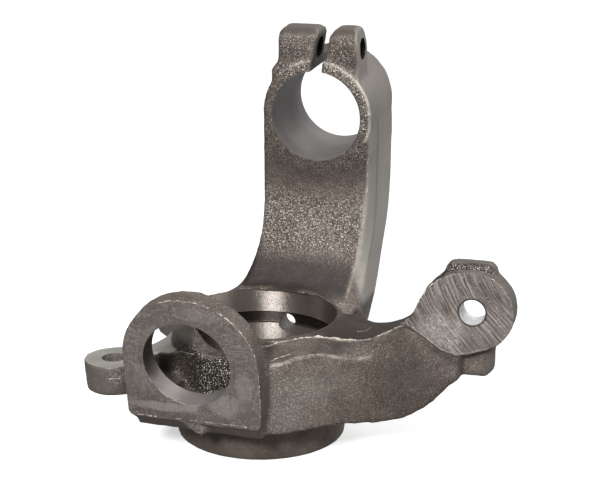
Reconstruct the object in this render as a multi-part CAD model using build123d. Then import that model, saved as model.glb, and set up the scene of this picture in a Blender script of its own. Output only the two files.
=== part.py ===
from build123d import *
import math
import os

# Front steering knuckle (hub carrier) of a strut suspension: one iron casting, machined in places.
# Frame: origin on the hub axis in the plane of the hub's outboard rim, +Z along the hub axis (inboard),
# +Y towards the strut (up in the car), +X towards the steering arm. Millimetres.

os.makedirs("parts", exist_ok=True)

# ---- driving dimensions ------------------------------------------------------------------------
HUB_R = 48.3            # outboard spigot, outer radius
HUB_R_UP = 50.5         # cast ring above it
HUB_H = 68.2            # inboard rim of the hub on the axis, sloped by RIM_SLOPE along Y
RIM_SLOPE = 0.014
SEAT_R = 41.0           # wheel-bearing seat (82 mm bearing)
SEAT_Z0 = 9.0           # bearing shoulder
LIP_R = 36.5            # opening through the shoulder
GROOVE_Z0, GROOVE_Z1 = 48.3, 54.9   # snap-ring groove
GROOVE_R = 44.2
MOUTH_R = 42.6          # mouth above the groove
ENTRY_GAP = 0.12        # clearance round the bearing where it passes the foot of the arm
SENSOR_R, SENSOR_Z = 4.8, 48.6      # wheel-speed sensor hole, radial, on +Y

CL_TILT = -5.4          # strut axis, degrees from -Y
CL_C = (13.2, 57.8, 171.1)          # centre of the clamp bore in its front face
CL_R, CL_RO, CL_L = 26.6, 33.1, 56.5
# clamp slit, leaning with the ears: its two faces in the clamp's own x and height above the axis
SLIT_L = [(-3.3, 24.0), (-3.1, 26.8), (-2.3, 29.9), (-0.8, 35.8), (-0.2, 39.7), (0.5, 43.5), (1.4, 46.8), (1.9, 60.0)]
SLIT_R = [(3.85, 24.0), (3.9, 32.7), (4.8, 34.0), (6.1, 36.4), (7.3, 41.8), (7.7, 44.9), (8.1, 48.0), (8.2, 60.0)]
EAR_X0, EAR_X1 = 15.1, 21.3         # slit faces at the ears' tops
EAR_L_X, EAR_R_X = -9.7, 38.4       # outer faces of the pinch ears
EAR_TOP = 51.2          # above the clamp axis
EAR_F, EAR_D = 1.8, 25.0            # ear front face behind the ring face, ear rear
PINCH_R = 6.2
PINCH_UP, PINCH_BACK = 38.4, 13.4   # pinch-bolt centre from CL_C

BJ_TILT = -10.4         # ball-joint axis, degrees from -Y
BJ_C = (-13.7, -77.9, 62.9)         # centre of the ball-joint hole in the machined face
BJ_R, BJ_RO, BJ_T = 24.0, 37.6, 12.0
BJ_CH = 0.5             # lead-in chamfer of the ball-joint hole

ST_C = (119.8, -4.0, 82.2)          # tie-rod hole in the machined face
ST_R0, ST_T, ST_RO = 7.0, 15.6, 22.3
ST_CH = 2.0             # countersink at the back of the tie-rod hole

EAR1 = (-64.3, -57.7)   # caliper ears
EAR2 = (-64.3, 38.5)
EAR_Z1, EAR_Z0 = 54.0, 37.0
EAR_RO, EAR_RH = 16.1, 6.5


def tilted(c, tilt):
    """Plane at c, local z along the bore's outward normal (towards -Y), local x = +X, local y up."""
    e = math.radians(tilt)
    return Plane(origin=c, x_dir=(1, 0, 0), z_dir=(0, -math.cos(e), math.sin(e)))


def cyl(c, z_dir, r, length, x_dir=(1, 0, 0)):
    return extrude(Plane(origin=c, x_dir=x_dir, z_dir=z_dir) * Circle(r), length)


def poly(pts):
    return make_face(Polyline(*pts, close=True).edges())


def slab(pts, z0, z1):
    return extrude(Plane.XY.offset(z0) * poly(pts), z1 - z0)


def upright(pts, y0, y1):
    """Outline in X and Z, extruded from y0 to y1."""
    return extrude(Plane(origin=(0, y0, 0), x_dir=(1, 0, 0), z_dir=(0, -1, 0)) * poly(pts), -(y1 - y0))


def wall(base, inward, pts):
    """Upright section through plan point base; pts are (distance inward, height)."""
    n = math.hypot(*inward)
    x = (inward[0] / n, inward[1] / n)
    pl = Plane(origin=(base[0], base[1], 0.0), x_dir=(x[0], x[1], 0.0), z_dir=(x[1], -x[0], 0.0))
    return pl * poly(pts)


cl = tilted(CL_C, CL_TILT)
bj = tilted(BJ_C, BJ_TILT)
st = tilted(ST_C, 0.0)

# ---- hub ring ------------------------------------------------------------------------------------
hub = extrude(Plane.XY * Circle(HUB_R), 40.0)
hub = chamfer(hub.edges().group_by(Axis.Z)[0], 0.7)
upper = extrude(Plane.XY.offset(25.0) * Circle(HUB_R_UP), HUB_H + 3.0 - 25.0)
upper = chamfer(upper.edges().group_by(Axis.Z)[0], 2.0)
upper = chamfer(upper.edges().group_by(Axis.Z)[-1], 9.6)
hub += upper

# ---- strut arm: horizontal sections from the clamp down to the hub -------------------------------
# z, front y, ledge y, rear y, front left x, front right x
ARM = [
    (166.0, 58.3, 76.0, 114.6, -19.9, 45.3),
    (148.0, 59.9, 76.0, 114.8, -20.0, 45.0),
    (130.0, 61.0, 76.0, 115.0, -20.1, 44.7),
    (114.0, 59.8, 75.5, 113.0, -20.0, 43.9),
    (100.0, 57.0, 71.0, 108.0, -20.6, 42.8),
    (87.0, 52.6, 62.5, 99.5, -23.0, 41.2),
    (77.0, 47.4, 56.5, 93.0, -25.8, 39.4),
    (69.0, 41.5, 52.0, 88.5, -29.4, 38.6),
    (58.0, 36.0, 48.0, 79.0, -30.0, 41.0),
    (47.0, 32.0, 44.0, 66.0, -28.0, 42.0),
    (36.0, 30.0, 38.0, 51.0, -24.0, 40.0),
]


def arm_section(z, yf, yl, yr, xl, xr):
    return Plane.XY.offset(z) * poly([(xl, yf), (xr, yf), (46.4, yl), (46.2, yr), (-19.9, yr), (-20.8, yl)])


arm_up = loft(Sketch() + [arm_section(*s) for s in ARM[:5]])
arm_low = loft(Sketch() + [arm_section(*s) for s in ARM[4:8]])
arm_foot = loft(Sketch() + [arm_section(*s) for s in ARM[7:]], ruled=True)
arm = arm_up + arm_low + arm_foot
# open back between two ribs
POCKET = [(57.0, 20.0), (57.0, 56.0), (60.5, 72.0), (65.5, 86.0), (70.0, 98.0), (72.5, 112.0), (74.0, 120.0), (82.0, 129.0),
          (150.0, 129.0), (150.0, 20.0)]     # Y, Z
pocket = extrude(Plane.YZ.offset(-9.5) * poly(POCKET), 44.0)
pocket = chamfer(pocket.edges().filter_by(Axis.Y).group_by(Axis.Z)[-1], 8.0)
arm -= pocket
# left flare of the foot
flare = upright([(-15.0, 112.0), (-20.0, 112.0), (-20.2, 103.5), (-21.2, 94.5), (-22.9, 87.3), (-24.5, 80.2), (-27.2, 72.7), (-30.6, 67.6),
                 (-37.8, 63.8), (-44.2, 62.4), (-51.0, 61.0), (-54.0, 58.0), (-54.0, 40.0), (-15.0, 40.0)], 20.0, 60.0)
flare &= slab([(-56.0, 20.0), (-50.0, 32.0), (-42.0, 41.0), (-33.0, 46.0), (-26.0, 52.0), (-21.0, 60.0), (-10.0, 60.0),
               (-10.0, 30.0), (-30.0, 20.0)], 30.0, 120.0)
# its front face follows the arm's front face
flare -= extrude(Plane.YZ.offset(-70.0) * poly([(10.0, 68.0), (41.0, 68.4), (47.4, 77.0), (52.6, 87.0), (57.0, 100.0), (60.0, 114.0),
                                               (10.0, 114.0)]), 60.0)

# ---- strut clamp ---------------------------------------------------------------------------------
ring = extrude(cl * Circle(CL_RO), -CL_L)
saddle = extrude(cl * Pos(0, -12.0) * Rectangle(2 * CL_RO - 0.6, 24.0), -CL_L)


def ear(x0, x1, r0, r1):
    """Pinch ear from x0 to x1; both outlines have rounded tops."""
    w = x1 - x0
    front = extrude(cl * Pos((x0 + x1) / 2 - CL_C[0], EAR_TOP - 25.0) * RectangleRounded(w, 50.0, r0), -60.0)
    prof = Plane(origin=(x0 - 5.0, CL_C[1], CL_C[2]), x_dir=(0, -cl.z_dir.Y, -cl.z_dir.Z), z_dir=(1, 0, 0))
    yd = 1.0 if prof.y_dir.Z > 0 else -1.0
    side = extrude(prof * Pos((EAR_F + EAR_D) / 2, yd * (EAR_TOP - 25.0)) * RectangleRounded(EAR_D - EAR_F, 50.0, r1), w + 10.0)
    return front & side


ears_p = ear(EAR_L_X, EAR_X0, 5.0, 9.5) + ear(EAR_X1, EAR_R_X, 6.0, 9.5)
ears_p += extrude(cl.offset(-EAR_F) * poly([(2.0, 30.0), (2.0, 33.5), (4.8, 34.0), (6.1, 36.4), (7.3, 41.8), (7.7, 44.9), (8.1, 47.0), (15.0, 45.0),
                                           (15.0, 30.0)]), EAR_F - EAR_D)
# the right ear leans in towards its top
ears_p -= extrude(cl.offset(5.0) * poly([(EAR_R_X - CL_C[0] + 0.1, 37.0), (EAR_R_X - CL_C[0] - 1.2, 47.0), (EAR_R_X - CL_C[0] - 2.6, 56.0),
                                        (40.0, 56.0), (40.0, 37.0)]), -70.0)
foot_l = extrude(cl * make_face(Polyline((-27.0, 17.0), (-27.0, 26.4), (-23.2, 31.2), (-16.0, 31.6), (-10.0, 17.0), close=True).edges()), -EAR_D)
clamp = ring + saddle + ears_p + foot_l

# ---- ball-joint flange ---------------------------------------------------------------------------
with BuildSketch(bj) as dsk:
    with Locations((1.8, 0.0)):
        Circle(BJ_RO)
    with BuildLine():
        Polyline((-35.8, 0.0), (-36.1, -33.0), (-34.6, -34.4), (38.3, -33.2), (39.4, -16.0), (39.4, 0.0), close=True)
    make_face()
    with Locations((0.0, -54.2)):
        Rectangle(120.0, 40.0, mode=Mode.SUBTRACT)
flange = extrude(dsk.sketch, -BJ_T)
# cast body below the machined face: bevelled in front, runs back to the hub
belly = extrude(Plane(origin=(BJ_C[0] - 37.0, BJ_C[1], BJ_C[2]), x_dir=(0, -bj.z_dir.Y, -bj.z_dir.Z), z_dir=(1, 0, 0))
                * poly([(0.2, -28.0), (0.2, -34.0), (3.0, -42.0), (14.0, -43.8), (40.0, -43.8), (40.0, -35.0), (12.0, -30.5)]), 75.0)
belly -= slab([(-60.0, -95.0), (-54.0, -95.0), (-50.6, -74.0), (-43.0, -62.0), (-38.0, -30.0), (-60.0, -30.0)], 0.0, 90.0)
belly -= extrude(Plane(origin=(BJ_C[0] - 36.0, BJ_C[1], BJ_C[2]), x_dir=(1, 0, 0), z_dir=(0, -1, 0))
                 * poly([(-10.0, -50.0), (-10.0, -34.8), (-1.9, -34.8), (3.4, -41.8), (5.5, -50.0)]), -60.0)

# ---- web round the hub and steering arm ----------------------------------------------------------
WEB = [
    ((10.0, -64.0), (0.0, 1.0), [(0, 23.0), (0, 60.0), (14, 66.0), (22, 66.0), (22, 23.0)]),
    ((26.0, -61.5), (-0.42, 0.91), [(0, 22.5), (0, 61.0), (17, 67.0), (24, 67.0), (24, 22.5)]),
    ((37.0, -55.5), (-0.47, 0.88), [(0, 22.5), (0.5, 63.6), (18, 67.8), (24, 67.5), (24, 22.5)]),
    ((48.5, -49.0), (-0.42, 0.91), [(0, 24.2), (1.5, 64.8), (18, 68.2), (23, 67.0), (23, 24.0)]),
    ((61.0, -40.0), (-0.38, 0.92), [(0, 24.0), (2, 61.8), (11, 68.7), (18, 66.0), (18, 25.0)]),
    ((73.0, -31.0), (-0.45, 0.89), [(0, 22.4), (2, 60.0), (7, 69.5), (16, 66.0), (16, 24.0)]),
    ((84.5, -21.5), (-0.38, 0.92), [(0, 21.5), (3.5, 56.0), (9, 72.0), (16, 69.0), (16, 25.0)]),
    ((95.5, -13.5), (-0.25, 0.97), [(0, 25.0), (4, 50.0), (9.2, 66.0), (16, 70.0), (16, 30.0)]),
    ((105.0, -8.5), (-0.1, 1.0), [(0, 33.0), (2.5, 47.0), (4.7, 59.0), (15, 76.0), (15, 38.0)]),
    ((114.5, -5.5), (0.0, 1.0), [(0, 43.0), (1.5, 50.0), (1.7, 57.0), (14, 85.0), (14, 45.0)]),
]
web = loft(Sketch() + [wall(*s) for s in WEB])

# saddle plate between hub, strut arm and steering arm: front edge and rear edge of its top
SADDLE = [
    ((38.0, -30.0, 68.0), (45.0, 46.0, 61.0), 68.0, 48.0),
    ((44.0, -29.0, 68.0), (50.3, 44.0, 56.8), 67.2, 46.0),
    ((54.0, -30.0, 68.5), (54.5, 34.0, 59.2), 66.4, 46.5),
    ((62.5, -28.0, 69.0), (61.0, 26.0, 61.3), 66.2, 48.0),
    ((70.0, -24.0, 69.6), (67.0, 19.5, 64.2), 67.2, 50.0),
    ((76.0, -17.0, 71.0), (74.0, 13.8, 67.6), 69.4, 52.0),
    ((81.0, -10.5, 72.6), (80.5, 11.4, 71.0), 71.8, 54.0),
    ((86.5, -3.5, 74.6), (86.5, 11.5, 75.6), 75.0, 56.0),
]


def saddle_section(pf, pr, zm, zb):
    dx, dy = pr[0] - pf[0], pr[1] - pf[1]
    d = math.hypot(dx, dy)
    return wall(pf[:2], (dx, dy), [(0, zb + 3.0), (0, pf[2]), (0.45 * d, zm), (d, pr[2]), (d, pr[2] - 11.0), (0.45 * d, zb)])


plate = loft(Sketch() + [saddle_section(*s) for s in SADDLE], ruled=True)

boss = extrude(st * Circle(ST_RO), -ST_T)
boss += upright([(83.0, 60.0), (83.0, 72.6), (85.0, 74.0), (87.2, 78.0), (89.2, 83.0), (91.5, 88.0), (94.8, 93.4), (99.0, 98.0),
                 (104.0, 101.6), (110.0, 103.8), (120.0, 104.8), (124.0, 60.0), (119.0, 57.4), (112.0, 57.0), (104.0, 58.6),
                 (95.0, 62.0)], ST_C[1], ST_C[1] + ST_T)
bar = upright([(101.0, 60.0), (107.0, 50.0), (112.0, 45.6), (116.0, 44.4), (128.2, 44.4), (130.8, 46.0), (132.0, 49.5), (131.8, 62.0), (130.9, 70.0), (130.9, 104.6),
               (127.8, 107.8), (106.0, 107.8), (103.3, 105.0)], 0.6, 11.6)
bar -= slab([(125.5, -5.0), (131.4, 9.0), (135.0, 9.0), (135.0, -5.0)], 40.0, 60.0)

# ---- caliper ears --------------------------------------------------------------------------------
ears = Part() + [
    extrude(Plane.XY.offset(EAR_Z0) * Pos(*p) * Circle(EAR_RO - 1.3), EAR_Z1 - EAR_Z0, taper=-4.3) for p in (EAR1, EAR2)
]
lugs = slab([(-79.5, -53.0), (-67.0, -38.0), (-56.6, -30.0), (-54.4, -20.0), (-53.6, -7.0), (-56.0, 5.0), (-66.0, 18.0), (-78.8, 33.0),
             (-66.0, 54.0), (-50.0, 50.0), (-28.0, 40.0), (-25.0, -37.0), (-47.0, -39.0), (-49.0, -56.0), (-56.0, -70.5)], 38.0, 53.0)

# root of the lugs under the flange
lugs += slab([(-49.0, -60.0), (-34.0, -60.0), (-28.0, -38.0), (-46.0, -34.0)], 29.0, 40.0)

casting = (hub + arm + flare + clamp + flange + belly + web + plate + boss + bar + ears + lugs)

# ---- clearance for the ball joint, milled into the front of the ring -----------------------------
# outline in X and Z on the ring's outer wall and on its bore wall
NOTCH_OUT = [(-23.4, 82.0), (-22.8, 60.0), (-22.0, 57.2), (-19.8, 56.1), (-15.3, 56.0), (-11.6, 56.2), (-7.9, 57.1), (-4.0, 58.2),
             (-1.1, 59.1), (3.0, 61.2), (8.0, 66.0), (10.0, 82.0)]
NOTCH_IN = [(-29.0, 82.0), (-27.6, 68.5), (-25.2, 65.0), (-21.7, 62.8), (-18.1, 61.0), (-14.1, 59.6), (-10.3, 58.8), (-7.1, 58.2),
            (-3.0, 58.0), (3.0, 59.0), (8.5, 63.0), (12.0, 82.0)]


def notch_section(y, s):
    """Outline at Y = y; s is 0 on the outer wall and 1 on the bore wall."""
    pts = [(a[0] + s * (b[0] - a[0]), a[1] + s * (b[1] - a[1])) for a, b in zip(NOTCH_OUT, NOTCH_IN)]
    return Plane(origin=(0, y, 0), x_dir=(1, 0, 0), z_dir=(0, -1, 0)) * poly(pts)


casting -= loft(Sketch() + [notch_section(-51.5, -0.2), notch_section(-49.0, 0.0), notch_section(-40.5, 1.0), notch_section(-32.0, 1.3)],
                ruled=True)

# ---- machined features ---------------------------------------------------------------------------
rim = math.degrees(math.atan(RIM_SLOPE))
top_cut = extrude(Plane(origin=(0, 0, HUB_H), x_dir=(1, 0, 0), z_dir=(0, -RIM_SLOPE, 1)) * Pos(0, -6.0) * Circle(47.0), 12.0)
top_cut &= slab([(-60.0, -60.0), (60.0, -60.0), (60.0, 20.0), (48.0, 20.0), (38.0, 33.0), (25.0, 38.0), (-25.0, 38.0), (-60.0, 38.0)],
                60.0, 90.0)
casting -= top_cut
cut = extrude(Plane.XY.offset(-1.0) * Circle(LIP_R), 60.0)
cut += extrude(Plane.XY.offset(SEAT_Z0) * Circle(SEAT_R), 60.0)
cut += extrude(Plane.XY.offset(GROOVE_Z0) * Circle(GROOVE_R), GROOVE_Z1 - GROOVE_Z0)
cut += extrude(Plane.XY.offset(GROOVE_Z1) * Circle(MOUTH_R), HUB_H + 0.8 - GROOVE_Z1)
# the bearing passes the foot of the arm on its way in
cut += extrude(Plane.XY.offset(HUB_H) * Circle(SEAT_R + ENTRY_GAP), 30.0)
casting -= cut
casting -= cyl((1.3, 30.0, SENSOR_Z), (0, 1, 0), SENSOR_R, 100.0)
casting -= extrude(cl.offset(5.0) * Circle(CL_R), -CL_L - 10.0)
casting -= extrude(cl.offset(5.0) * poly(SLIT_L + SLIT_R[::-1]), -CL_L - 10.0)
pin = (cl * Pos(0, PINCH_UP, -PINCH_BACK)).position
casting -= cyl((EAR_L_X - 5.0, pin.Y, pin.Z), (1, 0, 0), PINCH_R, 70.0, x_dir=(0, 1, 0))
casting -= extrude(bj.offset(5.0) * Circle(BJ_R), -BJ_T - 5.5)
casting -= extrude(bj * Pos(2.0, 2.0) * Rectangle(90.0, 80.0), 12.0)
casting -= Solid.make_cone(BJ_R, BJ_R + BJ_CH, BJ_CH, plane=bj.offset(-BJ_CH))
st_rear = Plane(origin=(ST_C[0], ST_C[1] + ST_T, ST_C[2]), x_dir=(1, 0, 0), z_dir=(0, 1, 0))
casting -= extrude(st.offset(5.0) * Circle(ST_R0), -ST_T - 10.0)
casting -= Solid.make_cone(ST_R0, ST_R0 + ST_CH, ST_CH, plane=st_rear.offset(-ST_CH))
for p in (EAR1, EAR2):
    casting -= extrude(Plane.XY.offset(20.0) * Pos(*p) * Circle(EAR_RH), 60.0)

print("solids", len(casting.solids()), "volume cm3", round(casting.volume / 1000.0, 1), "valid", casting.is_valid,
      casting.bounding_box())
export_step(casting, "parts/knuckle_casting.step")
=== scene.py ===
import math

import bmesh
import bpy
import numpy as np
from mathutils import Matrix, Vector


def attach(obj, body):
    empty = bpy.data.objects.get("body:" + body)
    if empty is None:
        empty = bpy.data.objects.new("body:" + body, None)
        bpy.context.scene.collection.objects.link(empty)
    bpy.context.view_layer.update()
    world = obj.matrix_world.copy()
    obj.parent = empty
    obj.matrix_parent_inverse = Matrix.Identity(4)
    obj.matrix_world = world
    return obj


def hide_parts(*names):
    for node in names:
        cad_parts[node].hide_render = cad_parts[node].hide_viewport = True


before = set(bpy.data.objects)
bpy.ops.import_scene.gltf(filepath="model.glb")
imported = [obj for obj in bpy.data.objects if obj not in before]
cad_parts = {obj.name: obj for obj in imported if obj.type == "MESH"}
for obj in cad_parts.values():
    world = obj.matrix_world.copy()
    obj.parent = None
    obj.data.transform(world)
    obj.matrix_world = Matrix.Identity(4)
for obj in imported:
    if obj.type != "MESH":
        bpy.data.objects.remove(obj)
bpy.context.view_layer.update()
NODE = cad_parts["knuckle_casting"]
SCENE = bpy.context.scene
MM = 0.001

# ---- sizes of the machined features, in millimetres, as in the CAD ------------------------------
HUB = [(-1.0, 9.0, 36.5), (8.9, 48.3, 41.0), (48.2, 54.9, 44.2), (54.8, 69.0, 42.6)]
SENSOR = ((1.3, 30.0, 48.6), (0, 1, 0), 4.8, 60.0)
CL_E = math.radians(-5.4)
CL_C = np.array([13.2, 57.8, 171.1])
CL_N = np.array([0.0, -math.cos(CL_E), math.sin(CL_E)])
CL_U = np.array([0.0, math.sin(CL_E), math.cos(CL_E)])
CL_R, CL_L = 26.6, 56.5
BJ_E = math.radians(-10.4)
BJ_C = np.array([-13.7, -77.9, 62.9])
BJ_N = np.array([0.0, -math.cos(BJ_E), math.sin(BJ_E)])
BJ_U = np.array([0.0, math.sin(BJ_E), math.cos(BJ_E)])
BJ_R = 24.0
ST_C = np.array([119.8, -4.0, 82.2])
EARS = [(-64.3, -57.7), (-64.3, 38.5)]
PIN_C = CL_C + CL_U * 38.4 - CL_N * 13.4
SLIT_L = [(-3.3, 24.0), (-3.1, 26.8), (-2.3, 29.9), (-0.8, 35.8), (-0.2, 39.7), (0.5, 43.5), (1.4, 46.8), (1.9, 60.0)]
SLIT_R = [(3.85, 24.0), (3.9, 32.7), (4.8, 34.0), (6.1, 36.4), (7.3, 41.8), (7.7, 44.9), (8.1, 48.0), (8.2, 60.0)]
# outline of the milled face of the steering boss, X and Z
MILLED = [(80.0, 72.0), (85.0, 71.4), (95.2, 65.1), (103.8, 59.2), (112.1, 57.2), (120.4, 59.3), (128.5, 62.3), (133.2, 65.2),
          (150.0, 70.0), (150.0, 112.0), (80.0, 112.0)]
# flash ridge along the top of the web, and the ledge below it
RIDGE = [(8, -55, 66.5), (14, -51, 67), (21, -47, 68), (28, -39, 68.2), (35, -32, 68.4), (44, -29, 68.4), (54, -30, 68.8), (63, -29, 69.2),
         (70, -25, 69.7), (76, -18, 71.2), (81, -11, 72.8), (85, -4, 74.4)]
NOTCH_OUT = [(-23.4, 82.0), (-22.8, 60.0), (-22.0, 57.2), (-19.8, 56.1), (-15.3, 56.0), (-11.6, 56.2), (-7.9, 57.1), (-4.0, 58.2),
             (-1.1, 59.1), (3.0, 61.2), (8.0, 66.0), (10.0, 82.0)]
NOTCH_IN = [(-29.0, 82.0), (-27.6, 68.5), (-25.2, 65.0), (-21.7, 62.8), (-18.1, 61.0), (-14.1, 59.6), (-10.3, 58.8), (-7.1, 58.2),
            (-3.0, 58.0), (3.0, 59.0), (8.5, 63.0), (12.0, 82.0)]
LEDGE = [(22, -62, 60.5), (30, -58, 61.6), (37, -53, 63.6), (46, -47, 64.8), (51, -44, 65), (56, -40.5, 62), (63, -36, 60), (71, -29, 60)]


# ---- small numeric tools ----------------------------------------------------------------------------
def smooth01(x, a, b):
    t = np.clip((x - a) / (b - a), 0.0, 1.0)
    return t * t * (3.0 - 2.0 * t)


def noise3(P, size, seed):
    """Value noise from -1 to 1 at points P (mm), features about size mm."""
    q = P / size + seed * 17.31
    i = np.floor(q).astype(np.int64)
    f = q - i
    f = f * f * (3.0 - 2.0 * f)
    out = np.zeros(len(P))
    for dx in (0, 1):
        for dy in (0, 1):
            for dz in (0, 1):
                h = (i[:, 0] + dx) * 73856093 ^ (i[:, 1] + dy) * 19349663 ^ (i[:, 2] + dz) * 83492791 ^ (seed * 2654435761)
                h = (h ^ (h >> 13)) * 1274126177 & 0xFFFFFFFF
                h = (h ^ (h >> 16)) * 2246822519 & 0xFFFFFFFF
                v = ((h >> 8) & 0xFFFF) / 32767.5 - 1.0
                w = (f[:, 0] if dx else 1 - f[:, 0]) * (f[:, 1] if dy else 1 - f[:, 1]) * (f[:, 2] if dz else 1 - f[:, 2])
                out += v * w
    return out


def dist_polyline(P, pts):
    """Distance from P to a polyline, and the share of its length at the nearest point."""
    pts = np.array(pts, float)
    best = np.full(len(P), 1e9)
    at = np.zeros(len(P))
    seg = np.linalg.norm(np.diff(pts, axis=0), axis=1)
    total, run = seg.sum(), 0.0
    for a, b, L in zip(pts[:-1], pts[1:], seg):
        ab = b - a
        t = np.clip(((P - a) @ ab) / (ab @ ab), 0, 1)
        d = np.linalg.norm(P - (a + t[:, None] * ab), axis=1)
        m = d < best
        best[m] = d[m]
        at[m] = (run + t[m] * L) / total
        run += L
    return best, at


def coords(me):
    a = np.empty(len(me.vertices) * 3)
    me.vertices.foreach_get("co", a)
    return a.reshape(-1, 3)


def set_coords(me, P):
    me.vertices.foreach_set("co", P.ravel())
    me.update()


def vert_normals(me):
    a = np.empty(len(me.vertices) * 3)
    me.vertices.foreach_get("normal", a)
    return a.reshape(-1, 3)


def mesh_object(name, me):
    o = bpy.data.objects.new(name, me)
    SCENE.collection.objects.link(o)
    return o


def drop(o):
    me = o.data
    bpy.data.objects.remove(o)
    if me.users == 0:
        bpy.data.meshes.remove(me)


def baked(o):
    """The object's mesh with its modifiers applied."""
    dg = bpy.context.evaluated_depsgraph_get()
    return bpy.data.meshes.new_from_object(o.evaluated_get(dg))


def cylinder(base, axis, r0, r1, length, seg=192):
    """Closed cylinder or cone, mm; base is the centre of its first end."""
    axis = Vector(axis).normalized()
    side = axis.orthogonal().normalized()
    up = axis.cross(side)
    bm = bmesh.new()
    rings = []
    for r, s in ((r0, 0.0), (r1, length)):
        c = Vector(base) + axis * s
        rings.append([bm.verts.new((c + (side * math.cos(t) + up * math.sin(t)) * r) * MM)
                      for t in (2 * math.pi * k / seg for k in range(seg))])
    for k in range(seg):
        j = (k + 1) % seg
        bm.faces.new((rings[0][k], rings[0][j], rings[1][j], rings[1][k]))
    bm.faces.new(rings[0][::-1])
    bm.faces.new(rings[1])
    me = bpy.data.meshes.new("cyl")
    bm.to_mesh(me)
    bm.free()
    return me


def prism(pts, origin, ex, ey, ez, length):
    """Closed prism over a polygon given in the ex, ey plane at origin, extruded along ez."""
    ex, ey, ez, origin = Vector(ex), Vector(ey), Vector(ez), Vector(origin)
    bm = bmesh.new()
    lo = [bm.verts.new((origin + ex * x + ey * y) * MM) for x, y in pts]
    hi = [bm.verts.new((origin + ex * x + ey * y + ez * length) * MM) for x, y in pts]
    n = len(pts)
    for k in range(n):
        j = (k + 1) % n
        bm.faces.new((lo[k], lo[j], hi[j], hi[k]))
    bm.faces.new(lo[::-1])
    bm.faces.new(hi)
    bmesh.ops.recalc_face_normals(bm, faces=bm.faces)
    me = bpy.data.meshes.new("prism")
    bm.to_mesh(me)
    bm.free()
    return me


def sections(rows):
    """Closed ruled shape through rows of matching points."""
    bm = bmesh.new()
    vs = [[bm.verts.new(Vector(p) * MM) for p in r] for r in rows]
    n = len(vs[0])
    for a, b in zip(vs[:-1], vs[1:]):
        for k in range(n):
            j = (k + 1) % n
            bm.faces.new((a[k], a[j], b[j], b[k]))
    bm.faces.new(vs[0][::-1])
    bm.faces.new(vs[-1])
    bmesh.ops.recalc_face_normals(bm, faces=bm.faces)
    bmesh.ops.triangulate(bm, faces=bm.faces)
    me = bpy.data.meshes.new("sections")
    bm.to_mesh(me)
    bm.free()
    return me


def blob(c, r, seed=1):
    """Lumpy ellipsoid."""
    bm = bmesh.new()
    bmesh.ops.create_icosphere(bm, subdivisions=3, radius=1.0)
    q = np.array([v.co[:] for v in bm.verts])
    k = 1.0 + 0.22 * noise3(q, 0.7, seed)
    for v, a, f in zip(bm.verts, q, k):
        v.co = [(c[i] + a[i] * r[i] * f) * MM for i in range(3)]
    me = bpy.data.meshes.new("blob")
    bm.to_mesh(me)
    bm.free()
    return me


def joined(name, meshes):
    bm = bmesh.new()
    for m in meshes:
        bm.from_mesh(m)
    me = bpy.data.meshes.new(name)
    bm.to_mesh(me)
    bm.free()
    return me


def notch_row(y, s):
    return [(a[0] + s * (b[0] - a[0]), y, a[1] + s * (b[1] - a[1])) for a, b in zip(NOTCH_OUT, NOTCH_IN)]


def disc(r, cy, ymax, n=240):
    """Circle about (0, cy) cut off at y = ymax."""
    pts = []
    for k in range(n):
        t = 2 * math.pi * k / n
        x, y = r * math.cos(t), cy + r * math.sin(t)
        if y <= ymax:
            pts.append((x, y))
    lo = [q for q in pts]
    xs = math.sqrt(max(r * r - (ymax - cy) ** 2, 0.0))
    i = next(k for k in range(n) if cy + r * math.sin(2 * math.pi * k / n) > ymax)
    j = len([k for k in range(i) if cy + r * math.sin(2 * math.pi * k / n) <= ymax])
    return lo[:j] + [(xs, ymax), (-xs, ymax)] + lo[j:]


# ---- blank: the CAD casting with its bores plugged and stock on its machined faces ------------------
src = NODE.data.copy()
P = coords(src) / MM
on_d = np.abs((P - BJ_C) @ BJ_N) < 0.02
P[on_d] += BJ_N * 1.6
on_s = (np.abs(P[:, 1] - ST_C[1]) < 0.02) & (np.hypot(P[:, 0] - ST_C[0], P[:, 2] - ST_C[2]) < 38.0)
P[on_s, 1] -= 1.4
for ex, ey in EARS:
    on_e = (np.abs(P[:, 2] - 54.0) < 0.02) & (np.hypot(P[:, 0] - ex, P[:, 1] - ey) < 18.0)
    P[on_e, 2] += 1.4
on_b = np.abs(P[:, 2]) < 0.02
P[on_b, 2] -= 1.5
on_t = (np.abs(P[:, 2] - 68.2 - 0.014 * P[:, 1]) < 0.03) & (np.hypot(P[:, 0], P[:, 1]) < 52) & (P[:, 1] < 38.2)
P[on_t, 2] += 0.8
set_coords(src, P * MM)

plugs = [cylinder((0, 0, z0 - (1.5 if z0 < 0 else 0.2)), (0, 0, 1), r + 0.35, r + 0.35, (67.9 if z1 > 60 else z1 + 0.2) - z0 + (1.5 if z0 < 0 else 0.2))
         for z0, z1, r in [(0.0, 9.0, 36.5), (9.0, 48.3, 41.0), (48.3, 54.9, 44.2), (54.9, 75.0, 42.6)]]
plugs.append(prism(disc(42.95, 0.0, 37.0), (0, 0, 66.0), (1, 0, 0), (0, 1, 0), (0, 0, 1), 3.0))
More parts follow.
